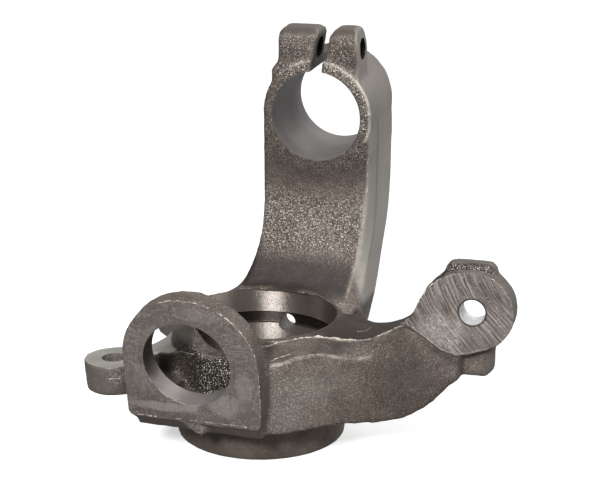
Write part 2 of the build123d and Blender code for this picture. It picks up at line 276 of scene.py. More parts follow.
# flash nub left on the lower edge of the flange
plugs.append(blob((-14.0, -70.4, 26.6), (3.8, 1.7, 1.7), 4))
plugs.append(blob((-10.6, -69.8, 24.4), (3.0, 2.3, 2.6), 6))
plugs.append(blob((-9.6, -68.2, 21.8), (2.0, 1.7, 1.8), 9))
plugs.append(cylinder((1.3, 40.0, 48.6), (0, 1, 0), 5.1, 5.1, 17.0, 48))
plugs.append(cylinder(CL_C - CL_N * 0.0, -CL_N, CL_R + 0.3, CL_R + 0.3, CL_L))
plugs.append(cylinder(BJ_C + BJ_N * 1.6, -BJ_N, BJ_R + 0.3, BJ_R + 0.3, 13.6))
plugs.append(cylinder(ST_C - np.array([0, 1.4, 0]), (0, 1, 0), 7.3, 8.1, 17.0, 64))
for ex, ey in EARS:
    plugs.append(cylinder((ex, ey, 37.2), (0, 0, 1), 6.8, 6.8, 18.2, 64))
plugs.append(cylinder((-9.6, PIN_C[1], PIN_C[2]), (1, 0, 0), 6.5, 6.5, 21.5, 48))
plugs.append(cylinder((38.2, PIN_C[1], PIN_C[2]), (-1, 0, 0), 6.5, 6.5, 18.2, 48))

blank = mesh_object("blank", joined("blank", [src] + plugs))
m = blank.modifiers.new("r", "REMESH")
m.mode = "VOXEL"
m.voxel_size = 1.18 * MM
m.adaptivity = 0.0
cast = baked(blank)
drop(blank)

# ---- rounding: diffusion over the mesh, stronger where the casting's fillets are wide ---------------
P = coords(cast) / MM
E = np.empty(len(cast.edges) * 2, np.int32)
cast.edges.foreach_get("vertices", E)
E = E.reshape(-1, 2)
deg = np.bincount(E.ravel(), minlength=len(P)).astype(float)


def relax(Q, w, rounds, lam=0.5):
    for _ in range(rounds):
        S = np.stack([np.bincount(E[:, 0], Q[E[:, 1], k], len(Q)) + np.bincount(E[:, 1], Q[E[:, 0], k], len(Q)) for k in range(3)], 1)
        Q = Q + (S / deg[:, None] - Q) * (lam * w)[:, None]
    return Q


def near(P, c, r0, r1):
    return 1.0 - smooth01(np.linalg.norm(P - np.array(c, float), axis=1), r0, r1)


one = np.ones(len(P))
P = relax(P, one, 7)
# wide blends: arm foot, saddle, ear roots, flange body, web ends
wide = np.zeros(len(P))
wide = np.maximum(wide, (1 - smooth01(P[:, 2], 118, 135)) * smooth01(P[:, 1], 30, 42))
wide = np.maximum(wide, smooth01(P[:, 0], 40, 48) * (P[:, 0] < 92) * smooth01(P[:, 2], 50, 56))
wide = np.maximum(wide, smooth01(P[:, 0], 55, 70) * (1 - smooth01(P[:, 0], 108, 118)) * (1 - smooth01(P[:, 1], 8, 12)))
wide = np.maximum(wide, near(P, (35, 60, 150), 20, 45) * 0.7)
wide = np.maximum(wide, near(P, (-5, 60, 150), 20, 45) * 0.7)
P = relax(P, wide, 14)
set_coords(cast, P * MM)

# ---- cast skin: waviness, pitting, flash ridge ---------------------------------------------------------
N = vert_normals(cast)
amp = 0.07 * noise3(P, 9.0, 3) + 0.07 * noise3(P, 4.2, 5) + 0.12 * noise3(P, 2.3, 8)
rough = np.ones(len(P))
cl_x = P[:, 0] - CL_C[0]
cl_y = (P - CL_C) @ CL_U
cl_t = -((P - CL_C) @ CL_N)
side_smooth = smooth01(N[:, 0], 0.45, 0.8) * smooth01(P[:, 1], 60, 66) * smooth01(P[:, 2], 60, 80)
rough *= 1.0 - 0.75 * side_smooth
# the roughest skin is on the ball-joint side of the ring and on the clamp's front
rad = np.hypot(P[:, 0], P[:, 1])
rough += 1.0 * smooth01(rad, 46, 48) * (1 - smooth01(rad, 52, 54)) * smooth01(-P[:, 1], 22, 30) * (P[:, 0] < 6) * (P[:, 2] > 24) * (P[:, 2] < 60)
rough += 0.7 * (smooth01(N @ CL_N, 0.4, 0.8) * (cl_t < 6) * (np.hypot(cl_x, cl_y) < 35))
P = P + N * (amp * rough)[:, None]
d, at = dist_polyline(P, RIDGE)
jag = 0.55 + 0.45 * noise3(P, 2.6, 21) + 0.35 * noise3(P, 6.0, 22)
up_r = np.array([-0.15, -0.45, 0.88])
P = P + up_r * (np.exp(-(d / 1.15) ** 2) * np.clip(jag, 0.0, 1.4) * 1.0)[:, None]
d2, at2 = dist_polyline(P, LEDGE)
P = P + np.array([0.05, -0.8, 0.6]) * (np.exp(-(d2 / 1.2) ** 2) * np.clip(0.5 + 0.5 * noise3(P, 3.0, 23), 0, 1) * 0.7)[:, None]
set_coords(cast, P * MM)

# ---- machining -----------------------------------------------------------------------------------------
work = mesh_object("work", cast)


def cut(me):
    """Takes the mesh away from the work."""
    global work
    c = mesh_object("cutter", me)
    b = work.modifiers.new("b", "BOOLEAN")
    b.object, b.operation, b.solver = c, "DIFFERENCE", "MANIFOLD"
    out = baked(work)
    drop(work)
    drop(c)
    work = mesh_object("work", out)


X, Y, Z = (1, 0, 0), (0, 1, 0), (0, 0, 1)
cut(prism([(-70, -70), (70, -70), (70, 70), (-70, 70)], BJ_C, X, BJ_U, BJ_N, 12.0))
cut(prism(MILLED, (0, ST_C[1], 0), X, Z, (0, -1, 0), 12.0))
for ex, ey in EARS:
    cut(cylinder((ex, ey, 54.0), Z, 16.6, 16.6, 6.0))
cut(prism([(-60, -60), (60, -60), (60, 60), (-60, 60)], (0, 0, 0), X, Y, (0, 0, -1), 6.0))
for z0, z1, r in HUB:
    cut(cylinder((0, 0, z0 - (2.0 if z0 < 0 else 0)), Z, r, r, z1 - z0 + (2.0 if z0 < 0 else 0), 320))
cut(prism(disc(47.0, -6.0, 38.0), (0, 0, 68.2), X, (0, 1, 0.014), (0, -0.014, 1), 8.0))
cut(sections([notch_row(-51.5, -0.2), notch_row(-49.0, 0.0), notch_row(-40.5, 1.0), notch_row(-32.0, 1.3)]))
cut(prism(SLIT_L + SLIT_R[::-1], CL_C + CL_N * 5, X, CL_U, -CL_N, CL_L + 10.0))
cut(cylinder(*SENSOR[:2], SENSOR[2], SENSOR[2], SENSOR[3], 96))
cut(cylinder(CL_C + CL_N * 5, -CL_N, CL_R, CL_R, CL_L + 12, 256))
cut(cylinder(BJ_C + BJ_N * 4, -BJ_N, BJ_R, BJ_R, 20.0, 256))
cut(cylinder(ST_C - np.array([0, 2.0, 0]), Y, 7.0, 7.0, 24.0, 128))
cut(cylinder((-14.0, PIN_C[1], PIN_C[2]), X, 6.2, 6.2, 60.0, 96))
for ex, ey in EARS:
    cut(cylinder((ex, ey, 30.0), Z, 6.5, 6.5, 30.0, 96))

# ---- flash and burrs: thin ragged ribs on the surface ---------------------------------------------------
from mathutils.bvhtree import BVHTree

tree = BVHTree.FromObject(work, bpy.context.evaluated_depsgraph_get())
burr_v, burr_f, burr_w = [], [], []


def burr(pts, width, height, seed, keep=0.0, step=0.42, bright=1.0, reach=4.0, lean=None):
    """Ragged rib along a polyline; keep above 0 leaves gaps."""
    pts = np.array(pts, float)
    seg = np.linalg.norm(np.diff(pts, axis=0), axis=1)
    acc = np.r_[0, np.cumsum(seg)]
    n = max(int(acc[-1] / step), 4)
    s = np.linspace(0, acc[-1], n)
    Q = np.stack([np.interp(s, acc, pts[:, k]) for k in range(3)], 1)
    T = np.gradient(Q, axis=0)
    T /= np.linalg.norm(T, axis=1)[:, None]
    a, b, c = noise3(Q, 1.3, seed), noise3(Q, 4.5, seed + 1), noise3(Q, 0.8, seed + 2)
    run = []

    def close():
        if len(run) > 3:
            i0 = len(burr_v)
            for tri, w in run:
                burr_v.extend(tri)
                burr_w.extend([w] * 3)
            for k in range(len(run) - 1):
                i, j = i0 + 3 * k, i0 + 3 * k + 3
                for u, v in ((0, 1), (1, 2), (2, 0)):
                    burr_f.append((i + u, i + v, j + v, j + u))
            e = i0 + 3 * (len(run) - 1)
            burr_f.append((i0 + 2, i0 + 1, i0))
            burr_f.append((e, e + 1, e + 2))
        run.clear()

    for k in range(n):
        hit = tree.find_nearest(Vector(Q[k]) * MM, reach * MM)
        if hit[0] is None or b[k] * 0.6 + a[k] * 0.5 < keep - 1.0:
            close()
            continue
        p, nn = np.array(hit[0]) / MM, np.array(hit[1])
        if lean is not None:
            nn = nn + np.array(lean)
            nn /= np.linalg.norm(nn)
        side = np.cross(nn, T[k])
        side /= max(np.linalg.norm(side), 1e-6)
        p = p + side * 0.25 * c[k]
        w = width * (0.75 + 0.35 * a[k]) * 0.5
        h = height * max(0.18, 0.62 + 0.5 * a[k] + 0.3 * b[k])
        run.append(((p + side * w - nn * 0.25, p + nn * h + side * 0.15 * c[k], p - side * w - nn * 0.25), bright * (0.6 + 0.5 * c[k])))
    close()


burr(RIDGE, 0.85, 0.65, 51, bright=0.85)
burr([(x, y + 0.9, z + 0.4) for x, y, z in RIDGE[1:9]], 0.8, 0.5, 57, keep=0.9, bright=0.8)
burr(LEDGE, 0.6, 0.3, 61, keep=0.95, bright=0.6)
# ring's outer rim, right then left, and the flange's right edge
burr([tuple(CL_C + np.array([math.cos(t), 0, 0]) * 32.3 + CL_U * math.sin(t) * 32.3) for t in np.radians(np.arange(78, -22, -4.0))], 1.0, 0.35, 71, keep=0.55)
burr([tuple(CL_C + np.array([math.cos(t), 0, 0]) * 32.0 + CL_U * math.sin(t) * 32.0) for t in np.radians(np.arange(135, 98, -4.0))], 1.0, 0.35, 75, keep=0.8)
burr([tuple(BJ_C + np.array([1.8 + 37.2 * math.cos(t), 0, 0]) + BJ_U * 37.2 * math.sin(t)) for t in np.radians(np.arange(112, 2, -4.0))], 0.55, 0.2, 81, keep=0.62)
burr([tuple(BJ_C + np.array([x, 0, 0]) + BJ_U * y) for x, y in ((38.9, 0.0), (38.9, -16.0), (37.9, -32.6))], 0.55, 0.25, 84, keep=0.5)
burr([tuple(BJ_C + np.array([x, 0, 0]) + BJ_U * y) for x, y in ((37.9, -32.7), (10.0, -33.2), (-20.0, -33.8), (-34.0, -33.9))], 0.5, 0.2, 85, keep=0.85)
burr([tuple(BJ_C + np.array([24.15 * math.cos(t), 0, 0]) + BJ_U * 24.15 * math.sin(t)) for t in np.radians(np.arange(285, 195, -4.0))], 0.4, 0.15, 87, keep=0.9)
# steering boss: bright lower and right edges of the cut face, torn edge on its upper left
burr([(85.5, -4, 71.6), (95.2, -4, 65.6), (103.8, -4, 59.7), (112.1, -4, 57.7), (120.4, -4, 59.8), (128.5, -4, 62.8)], 0.8, 0.3, 91, keep=0.4)
burr([tuple(ST_C + np.array([21.6 * math.cos(t), 0, 21.6 * math.sin(t)])) for t in np.radians(np.arange(75, -30, -4.0))], 0.6, 0.25, 93, keep=0.6)
burr([(87.5, -3.6, 79), (91.8, -3.6, 88.5), (96.8, -3.6, 95), (102.8, -3.6, 99.8), (110, -3.6, 102.6)], 1.0, 0.5, 95, keep=0.55)
burr([(89, 2, 82), (93, 3, 90.5), (98, 3, 96.8), (102, 2, 99.8)], 1.2, 0.5, 97, keep=0.9, bright=0.9)
# arm's front right corner, caliper ear
burr([(45.0, 59.9, 148), (44.8, 61.0, 130), (44.0, 59.8, 114), (42.9, 57, 100), (41.3, 52.6, 87), (39.5, 47.4, 77), (38.7, 41.5, 69)], 0.8, 0.25, 101, keep=0.8)
burr([(-62.0, -73.2, 47.5), (-58.0, -72.2, 47.5), (-54.5, -70.2, 47.6)], 0.8, 0.3, 105, keep=0.3)
burr([(-40.0, -36.5, 53.0), (-31.0, -40.2, 54.8), (-24.5, -43.8, 55.8), (-19.8, -46.3, 56.3), (-15.0, -47.9, 56.2)], 0.9, 0.3, 107, keep=0.9, bright=0.7)
burr([(-28.2, -33.2, 68.1), (-25.5, -36.5, 66.5), (-24.0, -39.6, 62.0), (-23.0, -42.5, 58.0)], 0.7, 0.3, 109, keep=0.3, bright=0.9)
burr([(58.8, -11.0, 67.0), (63.5, -8.0, 66.6), (62.8, 4.0, 65.0)], 0.9, 0.35, 112, bright=0.95)
# cracks in the skin beside the ball-joint plate, and the pale step under the clearance
burr([(15.1, -42.7, 66.8), (20.5, -42.6, 67.3), (26.0, -40.6, 67.7)], 0.6, 0.25, 121, keep=0.4, bright=0.8)
burr([(24.6, -58.0, 62.4), (26.8, -55.6, 63.0), (30.0, -52.8, 63.8), (34.0, -50.0, 64.2)], 0.7, 0.3, 124, bright=0.75)
burr([(-23.5, -44.9, 57.4), (-18.0, -46.2, 57.2), (-12.9, -47.0, 57.3), (-6.0, -48.4, 58.0)], 0.9, 0.15, 127, keep=0.3, bright=0.6)
# painted highlight: bright lip of the mouth under the arm's foot
burr([(40.95 * math.cos(t), 40.95 * math.sin(t), 69.25) for t in np.radians(np.arange(128, 60, -3.0))], 0.5, 0.12, 131, keep=0.2, bright=0.8)
# faint scratches down the web
burr([(67.4, -32.9, 59.5), (71.7, -29.9, 55.0), (76.3, -26.1, 48.5), (82.0, -21.4, 41.1)], 0.4, 0.12, 114, keep=0.8, bright=0.5)
burr([(72.5, -29.2, 57.5), (77.5, -25.2, 51.5)], 0.35, 0.12, 117, keep=0.6, bright=0.45)
n_cast = len(work.data.vertices)
f_cast = len(work.data.polygons)
bme = bpy.data.meshes.new("burrs")
bme.from_pydata([tuple(np.array(v) * MM) for v in burr_v], [], burr_f)
bme.update()
both = joined("knuckle", [work.data, bme])
drop(work)
work = mesh_object("work", both)
burr_w = np.clip(np.array(burr_w), 0.25, 1.0)

me = work.data
print("casting verts", len(me.vertices), "faces", len(me.polygons))

# ---- which material each face has --------------------------------------------------------------------
nf = len(me.polygons)
C = np.empty(nf * 3)
me.polygons.foreach_get("center", C)
C = C.reshape(-1, 3) / MM
FN = np.empty(nf * 3)
me.polygons.foreach_get("normal", FN)
FN = FN.reshape(-1, 3)
CAST, FACE, MILL, BORE, CLAMP, RIM, HOLE, STUD, DARK, NOTCH = range(10)
mi = np.full(nf, CAST, np.int32)
rad = np.hypot(C[:, 0], C[:, 1])
flat_d = (np.abs((C - BJ_C) @ BJ_N) < 0.03) & (FN @ BJ_N > 0.99)
mi[flat_d] = FACE
flat_s = (np.abs(C[:, 1] - ST_C[1]) < 0.03) & (FN[:, 1] < -0.99) & (C[:, 0] > 80)
mi[flat_s] = MILL
flat_e = (np.abs(C[:, 2] - 54.0) < 0.03) & (FN[:, 2] > 0.99) & (C[:, 0] < -45)
mi[flat_e] = RIM
mi[(np.abs(C[:, 2]) < 0.03) & (FN[:, 2] < -0.99)] = RIM
inner = (rad < 46.8) & (C[:, 2] < 71) & ((FN[:, 0] * C[:, 0] + FN[:, 1] * C[:, 1]) < -0.5 * rad)
for r in (36.5, 41.0, 44.2, 42.6):
    mi[inner & (C[:, 2] < 68.95) & (np.abs(rad - r) < 0.12)] = BORE
mi[(rad < 44.3) & (np.abs(FN[:, 2]) > 0.99) & np.isin(np.round(C[:, 2], 1), (9.0, 48.3, 54.9, 8.9, 48.2, 54.8))] = BORE
V = C - CL_C
lx, ly = V[:, 0], V @ CL_U
mi[(np.abs(np.hypot(lx, ly) - CL_R) < 0.1) & ((FN[:, 0] * lx + (FN @ CL_U) * ly) < -0.9 * CL_R)] = CLAMP
V = C - BJ_C
bx, by = V[:, 0], V @ BJ_U
mi[(np.abs(np.hypot(bx, by) - BJ_R) < 0.1) & ((FN[:, 0] * bx + (FN @ BJ_U) * by) < -0.9 * BJ_R)] = CLAMP
hole = (np.abs(np.hypot(C[:, 0] - 1.3, C[:, 2] - 48.6) - 4.8) < 0.06) & (C[:, 1] > 35)
st_r = np.hypot(C[:, 0] - ST_C[0], C[:, 2] - ST_C[2])
hole |= (st_r < 8.2) & (np.abs(FN[:, 1]) < 0.3)
mi[hole] = HOLE
mi[(C[:, 2] > 68.4) & (C[:, 1] > 30) & (rad < 46) & (mi == RIM)] = CAST
mi[(st_r < 9.5) & (np.abs(FN[:, 1]) < 0.9) & (C[:, 1] > -3.9) & (C[:, 1] < 12)] = STUD
pin = (np.abs(np.hypot(C[:, 1] - PIN_C[1], C[:, 2] - PIN_C[2]) - 6.2) < 0.06) & (C[:, 2] > 190)
for ex, ey in EARS:
    pin |= (np.abs(np.hypot(C[:, 0] - ex, C[:, 1] - ey) - 6.5) < 0.06)
mi[pin] = DARK
for ex, ey in EARS:
    mi[(np.hypot(C[:, 0] - ex, C[:, 1] - ey) < 6.6) & (np.abs(FN[:, 2]) < 0.3)] = HOLE
# milled clearance for the ball joint: face centres that lie on the ruled cutter
rows = [(-51.5, -0.2), (-49.0, 0.0), (-40.5, 1.0), (-32.0, 1.3)]
sN = np.interp(C[:, 1], [r[0] for r in rows], [r[1] for r in rows])
NO, NI = np.array(NOTCH_OUT), np.array(NOTCH_IN)
dN = np.full(nf, 99.0)
for k in range(len(NO) - 1):
    ax, az = NO[k, 0] + sN * (NI[k, 0] - NO[k, 0]), NO[k, 1] + sN * (NI[k, 1] - NO[k, 1])
    bx_, bz_ = NO[k + 1, 0] + sN * (NI[k + 1, 0] - NO[k + 1, 0]), NO[k + 1, 1] + sN * (NI[k + 1, 1] - NO[k + 1, 1])
    ux, uz = bx_ - ax, bz_ - az
    tt = np.clip(((C[:, 0] - ax) * ux + (C[:, 2] - az) * uz) / (ux * ux + uz * uz), 0, 1)
    dN = np.minimum(dN, np.hypot(C[:, 0] - ax - tt * ux, C[:, 2] - az - tt * uz))
mi[(dN < 0.25) & (C[:, 1] > -51) & (C[:, 1] < -34) & (C[:, 2] < 69) & (rad > 42.4) & (mi == CAST)] = NOTCH
mi[f_cast:] = CAST
me.materials.clear()
print("faces by material", np.bincount(mi, minlength=10))

# ---- masks on the vertices that the skin's colours read -----------------------------------------------
P = coords(me) / MM
N = vert_normals(me)
n1, n2, n3 = noise3(P, 14.0, 31), noise3(P, 5.0, 32), noise3(P, 26.0, 33)
cl_x = P[:, 0] - CL_C[0]
cl_y = (P - CL_C) @ CL_U
cl_t = -((P - CL_C) @ CL_N)
cl_r = np.hypot(cl_x, cl_y)

front = smooth01(-N[:, 1], 0.3, 0.75)
arm_front = front * smooth01(P[:, 1], 25, 34) * smooth01(P[:, 2], 66, 76) * (P[:, 0] > -40) * (P[:, 0] < 48)
# sparkling grain: strongest across the middle of the arm's front, where the extra pale grains are a painted highlight
# belt
spk = 0.35 + 0.1 * n1
spk = np.where(arm_front > 0.2, 0.30 + 0.75 * np.exp(-((P[:, 2] - 106) / 20.0) ** 2) + 0.12 * n1, spk)
ringf = (smooth01(FN_ := (N @ CL_N), 0.4, 0.8)) * (cl_t < 4.0) * (cl_r > 26) * smooth01(cl_y, -40, -20)
spk = np.maximum(spk, ringf * 0.95)
ear_front = (cl_y > 33) * (N @ CL_N > 0.6)
spk = np.maximum(spk, ear_front * 0.8)
web_front = front * (P[:, 0] > 8) * (P[:, 2] < 66) * (P[:, 2] > 20) * (P[:, 1] < 0)
spk = np.where(web_front > 0.3, 0.45 + 0.25 * np.exp(-((P[:, 0] - 28) / 22.0) ** 2) + 0.1 * n1, spk)
saddle = smooth01(N[:, 2], 0.55, 0.85) * (P[:, 0] > 36) * (P[:, 0] < 96) * (P[:, 2] > 52) * (P[:, 2] < 82) * (P[:, 1] > -27)
spk = spk * (1 - 0.8 * saddle)
sidef = smooth01(N[:, 0], 0.35, 0.75) * (P[:, 1] > 50) * (P[:, 2] > 66)
spk = spk * (1 - 0.75 * sidef)
tops = smooth01(N[:, 2], 0.25, 0.7) * (cl_y > 36)
spk = spk * (1 - 0.7 * tops)
spk = np.clip(spk, 0, 1)

# smooth grey skin: sides of arm and clamp, ear sides, slit, bevel of the flange, lug sides
smo = sidef.copy()
in_slit = (np.abs(cl_x - (0.35 + (cl_y - 27) * 0.22)) < 4.6) & (cl_y > 24) & (np.abs(N[:, 0]) > 0.5)
smo = np.maximum(smo, in_slit * 1.0)
smo = np.maximum(smo, smooth01(N[:, 0], 0.5, 0.8) * (P[:, 0] > 118) * 0.8)
smo = np.maximum(smo, tops * 0.5)
smo = np.maximum(smo, (P[:, 0] < -48) * (np.abs(N[:, 2]) < 0.6) * 0.55)
smo = np.maximum(smo, smooth01(N[:, 2], 0.6, 0.9) * (P[:, 2] > 104) * (P[:, 0] > 98) * 0.9)
smo = np.clip(smo, 0, 1)

# darker places, lighter places: random tone, plus painted shade and painted light where marked
tone = 0.10 * n3 + 0.08 * n1
# painted shade on the arm front's foot and top, painted highlight band across its middle
tone -= 0.35 * arm_front * (1 - smooth01(P[:, 2], 70, 92))
tone -= 0.30 * arm_front * smooth01(P[:, 2], 124, 142)
tone += 0.18 * arm_front * np.exp(-((P[:, 2] - 106) / 18.0) ** 2)
tone -= 0.35 * saddle
tone -= 0.3 * (web_front > 0.3) * smooth01(P[:, 0], 60, 95)
tone += 0.12 * (web_front > 0.3) * np.exp(-((P[:, 0] - 30) / 18.0) ** 2)
# painted shade in the crease where the ears meet the clamp ring's front
tone -= 0.25 * np.exp(-((cl_y - 33.5) / 2.6) ** 2) * (cl_t < 3) * (np.abs(cl_x) < 25)
# painted shade on the hub wall behind the ball-joint flange
tone -= 0.5 * near(P, (-13, -55, 45), 10, 30)
# painted shade: a dark crease line along the step on the arm's side
ledge_arm = np.array([(46.4, 76, 168), (46.4, 76, 148), (46.4, 76, 130), (46.4, 75.5, 114), (46.4, 71, 100), (46.4, 62.5, 87), (46.4, 56.5, 77), (46.4, 52, 69)])
dl, _ = dist_polyline(P, ledge_arm)
tone -= 0.5 * np.exp(-(dl / 1.3) ** 2)
band = (web_front > 0.05) & (P[:, 2] > 60)
tone = np.clip(tone, -1, 1)

# bright edges, partly wear and partly painted highlight: flash ridge, ledge, arm's front right corner, clamp ring's rim
d, at = dist_polyline(P, RIDGE)
edge_wear_and_highlight = np.exp(-(d / 0.9) ** 2) * np.clip(0.75 + 0.7 * noise3(P, 2.2, 41), 0, 1.3) * np.where(at < 0.25, 0.8, 1.0)
d, at = dist_polyline(P, LEDGE)
edge_wear_and_highlight = np.maximum(edge_wear_and_highlight, np.exp(-(d / 0.9) ** 2) * np.clip(0.45 + 0.8 * noise3(P, 2.8, 42), 0, 1) * 0.45)
arm_edge = [(45.3, 58.3, 158), (45.0, 59.9, 148), (44.7, 61.0, 130), (43.9, 59.8, 114), (42.8, 57, 100), (41.2, 52.6, 87), (39.4, 47.4, 77), (38.6, 41.5, 69)]
d, at = dist_polyline(P, arm_edge)
edge_wear_and_highlight = np.maximum(edge_wear_and_highlight, np.exp(-(d / 1.0) ** 2) * np.clip(0.6 + 0.5 * noise3(P, 4.0, 43), 0, 1) * smooth01(at, 0.1, 0.3) * 0.8)
ang = np.degrees(np.arctan2(cl_y, cl_x))
rim_edge = 0.7 * np.exp(-((cl_r - 32.4) / 0.6) ** 2) * (cl_t < 2.5)
edge_wear_and_highlight = np.maximum(edge_wear_and_highlight, rim_edge * ((ang > -25) & (ang < 82)) * np.clip(0.75 + 0.4 * noise3(P, 3.0, 44), 0, 1))
edge_wear_and_highlight = np.maximum(edge_wear_and_highlight, rim_edge * ((ang > 95) & (ang < 135)) * np.clip(0.4 + 0.5 * noise3(P, 3.0, 45), 0, 1))
edge_wear_and_highlight = np.clip(edge_wear_and_highlight, 0, 1)

# painted shade on the ring's skin behind the ball joint, with painted glints on its bright grains
pr = np.hypot(P[:, 0], P[:, 1])
bjw = (1 - smooth01(pr, 53, 58)) * smooth01(-P[:, 1], 22, 30) * (P[:, 0] < 8) * (P[:, 0] > -46) * (P[:, 2] > 22) * (P[:, 2] < 56.5) * (N[:, 2] < 0.85) * (pr > 46.5)
inner_f = ((P - BJ_C) @ BJ_N < -11.0) * (P[:, 1] > -74) * (P[:, 2] > 22) * (P[:, 2] < 60) * (P[:, 0] < 8) * (P[:, 0] > -46) * (P[:, 1] < -34) * (N[:, 2] < 0.85) * (N @ BJ_N > -0.5)
bjw = np.maximum(bjw, inner_f * (np.abs(N[:, 2]) < 0.95) * (P[:, 2] > 27))
tone -= 0.72 * bjw
spk = np.where(bjw > 0.3, 0.45 * smooth01(P[:, 0], -36, -22), spk)
painted_glint = bjw * (0.3 * smooth01(P[:, 0], -44, -34) + 0.5 * smooth01(P[:, 0], -30, -12))
lugtop_m = (np.abs(P[:, 2] - 53) < 1.6) * (N[:, 2] > 0.6) * (P[:, 0] < -30) * (np.hypot(P[:, 0] + 64.3, P[:, 1] + 9.6) < 45)
rad_p = np.hypot(P[:, 0], P[:, 1])
# the arm's front: painted shade on the foot, painted highlight belt of pale grains above it
armf = smooth01(P[:, 1], 28, 36) * smooth01(-N[:, 1], 0.35, 0.6) * smooth01(P[:, 2], 64, 68) * (P[:, 0] > -60) * (P[:, 0] < 48) * (1 - smooth01(N[:, 0], 0.15, 0.4))
foot = armf * (1 - smooth01(P[:, 2], 82, 96))
tone -= 0.84 * foot
tone -= 0.10 * armf * (1 - foot)
# painted light: the arm's right flank is lighter, less so towards the top
flank = smooth01(N[:, 0], 0.3, 0.55) * smooth01(P[:, 1], 46, 54) * smooth01(P[:, 2], 60, 66) * (P[:, 0] > 18)
tone += (0.95 - 0.5 * smooth01(P[:, 2], 100, 190)) * flank
smo = np.maximum(smo, 0.9 * flank)
spk = spk * (1 - 0.85 * flank)
# the base is smoother and plainer
spk = spk * (1 - 0.6 * (1 - smooth01(P[:, 2], 16, 24)) * (rad_p > 40))
# painted light on the lug tops, against the flange's shadow
tone += 0.72 * lugtop_m
tone += 0.12 * smooth01(P[:, 2], 183, 190) * (N[:, 1] < -0.3) * (N[:, 2] < 0.5)
tone -= 0.42 * smooth01(N[:, 2], 0.6, 0.85) * (P[:, 0] > 44) * (P[:, 0] < 100) * (P[:, 2] > 54) * (P[:, 2] < 76)
# painted light in the flange's shadow at the hub's left
tone += 0.15 * near(P, (-29, -41, 63), 8, 16) * (P[:, 2] > 57)
# painted shade: the strip between the two ribs, under the flash ridge, is darker
rid = np.array(RIDGE)
rz = np.interp(P[:, 0], rid[:, 0], rid[:, 2]) if np.all(np.diff(rid[:, 0]) > 0) else np.interp(P[:, 0], rid[::-1, 0], rid[::-1, 2])
strip = (P[:, 1] < -10) * (N[:, 1] < -0.3) * smooth01(rz - P[:, 2], 0.6, 1.6) * (1 - smooth01(rz - P[:, 2], 5.0, 7.5)) * (P[:, 0] > 20) * (P[:, 0] < 88)
tone -= 0.3 * strip
tone -= 0.45 * near(P, (21, -46.5, 66.5), 2.0, 7.0) * (P[:, 2] > 63)
# painted highlight belt: more pale grains across the arm front at z about 106
spk = spk * (1 - 0.1 * foot) + 0.55 * armf * np.exp(-((P[:, 2] - 106) / 11) ** 2)
lugtop = (np.abs(P[:, 2] - 53) < 1.6) * (N[:, 2] > 0.6) * (P[:, 0] < -30) * (np.hypot(P[:, 0] + 64.3, P[:, 1] + 9.6) < 45)
smo = np.maximum(smo, lugtop * 1.0)
spk = spk * (1 - lugtop)
cone_l = (P[:, 2] > 56) * (P[:, 1] < -20) * (P[:, 0] < -20) * (np.hypot(P[:, 0], P[:, 1]) < 52)
smo = np.maximum(smo, cone_l * 0.45)
spk = spk * (1 - 0.8 * cone_l)
tone -= 0.15 * cone_l
# painted shade on the flange's down-facing bevel, whose skin is also smoother
bev = (np.abs(P[:, 1] + 69.5) < 4.0) * (P[:, 2] < 30) * (P[:, 2] > 18) * (N[:, 1] < -0.5) * (P[:, 0] < 24)
smo = np.maximum(smo, bev * 0.35)
tone -= 0.3 * bev
spk = spk * (1 - 0.8 * bev)
# painted glints on the caliper ear's front, the boss block's front, the clamp ring's front and the flash nub
painted_glint = np.maximum(painted_glint, 0.9 * near(P, (-56.5, -71, 48.5), 2.0, 5.5))
painted_glint = np.maximum(painted_glint, 0.7 * (np.abs(P[:, 1] - 0.3) < 1.6) * (N[:, 1] < -0.4) * (P[:, 2] > 103))
tone -= 0.8 * (np.abs(P[:, 1] - 0.3) < 1.8) * (N[:, 1] < -0.2) * (P[:, 2] > 102.5) * (P[:, 0] > 95)
tone -= 0.78 * (P[:, 0] > 84) * (P[:, 0] < 104) * (P[:, 2] > 74) * (P[:, 1] > -3.6) * (N[:, 0] < -0.2)
painted_glint = np.maximum(painted_glint, 0.8 * ringf * (cl_r > 27.5) * (cl_r < 34.0) * (((ang > -20) & (ang < 80)) | ((ang > 100) & (ang < 130))))
nub = near(P, (-11, -70.0, 24.5), 3.5, 7.5) * (P[:, 2] < 27.5) * (P[:, 1] < -66)
tone = tone * (1 - nub) + 0.15 * nub
spk = np.maximum(spk, nub)
painted_glint = np.maximum(painted_glint, 0.6 * nub)
painted_glint[n_cast:] = 0
smo[n_cast:] = 0
spk[n_cast:] = 0.4
tone[n_cast:] = 0
edge_wear_and_highlight[n_cast:] = burr_w
tone = np.clip(tone, -1, 1)

for name, val in (("painted_glint", np.clip(painted_glint, 0, 1)), ("spk", spk), ("smo", smo), ("tone", tone), ("edge_wear_and_highlight", edge_wear_and_highlight)):
    a = me.attributes.new(name, "FLOAT", "POINT")
    a.data.foreach_set("value", val.astype(np.float32))


# ---- materials ---------------------------------------------------------------------------------------------
def srgb(r, g, b):
    return tuple(((c / 255.0) / 12.92 if c / 255.0 <= 0.04045 else ((c / 255.0 + 0.055) / 1.055) ** 2.4) for c in (r, g, b)) + (1.0,)


